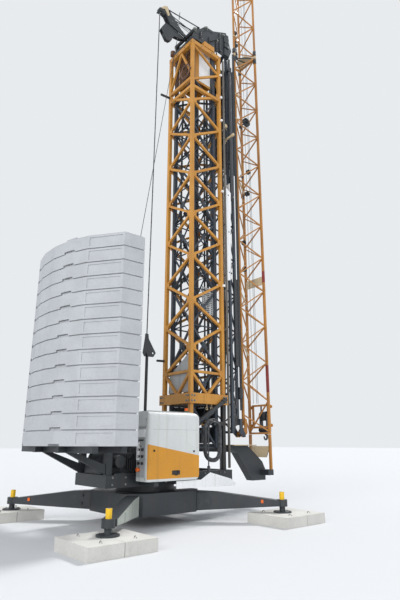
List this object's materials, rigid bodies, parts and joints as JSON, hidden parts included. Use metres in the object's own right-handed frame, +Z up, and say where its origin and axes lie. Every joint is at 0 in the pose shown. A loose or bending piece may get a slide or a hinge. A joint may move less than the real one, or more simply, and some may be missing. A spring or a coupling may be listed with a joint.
{
  "type": "self-erecting tower crane with lowered tower and folded jib",
  "caption": "Fast-erecting tower crane on a crossed-leg base: stacked ballast, machine cabinet, telescoping lattice tower and a jib folded down in front.",
  "frame": {"origin": "slewing axis at ground level, in the middle of the four support spindles", "axes": "+X forward to the jib side, +Y to the crane's left, +Z up"},
  "size_m": [6.84, 5.4, 21.86],
  "materials": {
    "yellow_paint": "semi-gloss yellow paint",
    "dark_paint": "satin charcoal paint",
    "grey_paint": "satin dark grey paint",
    "white_paint": "satin white paint",
    "cabinet_white": "satin white moulded hood",
    "cabinet_yellow": "satin yellow moulded panel",
    "panel_grey": "satin grey paint",
    "bare_steel": "bright machined steel",
    "cap_yellow": "signal yellow paint",
    "concrete": "plain cast concrete",
    "ballast_concrete": "white painted concrete",
    "beacon_orange": "clear orange lens",
    "rope_steel": "greased steel wire rope",
    "conduit_grey": "galvanised tube",
    "cable_rubber": "black rubber sheath"
  },
  "bodies": {
    "undercarriage": {"ground_pads": "concrete", "spindle_feet": "dark_paint", "spindles": "bare_steel", "spindle_caps": "cap_yellow", "outrigger_legs": "dark_paint", "undercarriage_frame": "dark_paint", "slewing_ring_lower": "grey_paint"},
    "slewing_platform": {"slewing_ring_upper": "grey_paint", "platform_frame": "dark_paint", "ballast_frame": "dark_paint", "ballast_blocks_odd": "ballast_concrete", "ballast_blocks_even": "ballast_concrete", "cabinet_housing": "cabinet_white", "cabinet_side_panel": "cabinet_yellow", "control_panel": "panel_grey", "beacon": "beacon_orange", "hoist_winch": "dark_paint", "power_unit": "dark_paint", "side_aprons": "white_paint", "tower_foot": "yellow_paint", "tower_base_frame": "yellow_paint", "outer_tower_rear": "yellow_paint", "outer_tower_front": "yellow_paint", "outer_tower_sides": "yellow_paint", "tower_top_frame": "yellow_paint", "erecting_cylinders": "dark_paint", "erecting_rods": "bare_steel", "rear_guy_rods": "dark_paint", "guy_link_plate": "dark_paint", "rear_guy_rope": "rope_steel", "jib_rest": "dark_paint", "conduit_pipe": "conduit_grey", "cable_fittings": "dark_paint", "cable_tails": "cable_rubber", "cable_hank": "cable_rubber", "cable_plug": "cable_rubber"},
    "inner_tower": {"inner_tower_rear": "grey_paint", "inner_tower_front": "grey_paint", "inner_tower_sides": "grey_paint", "head_box": "yellow_paint", "tower_head": "dark_paint", "jib_pin": "bare_steel", "guy_strut": "dark_paint", "strut_sheaves": "dark_paint"},
    "jib_inner": {"jib_inner_bottom": "grey_paint", "jib_inner_left": "grey_paint", "jib_inner_right": "grey_paint", "jib_root_plates": "dark_paint", "jib_side_panel": "white_paint", "folded_tie_bars": "dark_paint"},
    "jib_outer": {"jib_outer_bottom": "yellow_paint", "jib_outer_left": "yellow_paint", "jib_outer_right": "yellow_paint", "jib_end_joint": "dark_paint", "jib_tip_bottom": "yellow_paint", "jib_tip_left": "yellow_paint", "jib_tip_right": "yellow_paint"},
    "trolley": {"trolley": "dark_paint", "hook_block": "dark_paint"}
  },
  "joints": [
    {"name": "slewing", "type": "hinge", "parent": "undercarriage", "child": "slewing_platform", "pos_m": [0, 0, 0.7], "axis": [0, 0, 1], "continuous": true},
    {"name": "tower_telescope", "type": "slide", "parent": "slewing_platform", "child": "inner_tower", "axis": [0, 0, 1], "range_m": [0, 8.5], "deforming": ["rear_guy_rope"]},
    {"name": "jib_unfold", "type": "hinge", "parent": "inner_tower", "child": "jib_inner", "pos_m": [2.36, 0, 13.75], "axis": [0, -1, 0], "range_deg": [0, 90]},
    {"name": "jib_fold", "type": "hinge", "parent": "jib_inner", "child": "jib_outer", "pos_m": [3.01, 0, 1.8], "axis": [0, 1, 0], "range_deg": [0, 180]},
    {"name": "trolley_travel", "type": "slide", "parent": "jib_outer", "child": "trolley", "axis": [0, 0, 1], "range_m": [0, 11.3]}
  ],
  "couplings": [
    {"joint": "jib_fold", "follows": "jib_unfold", "ratio": 2}
  ]
}
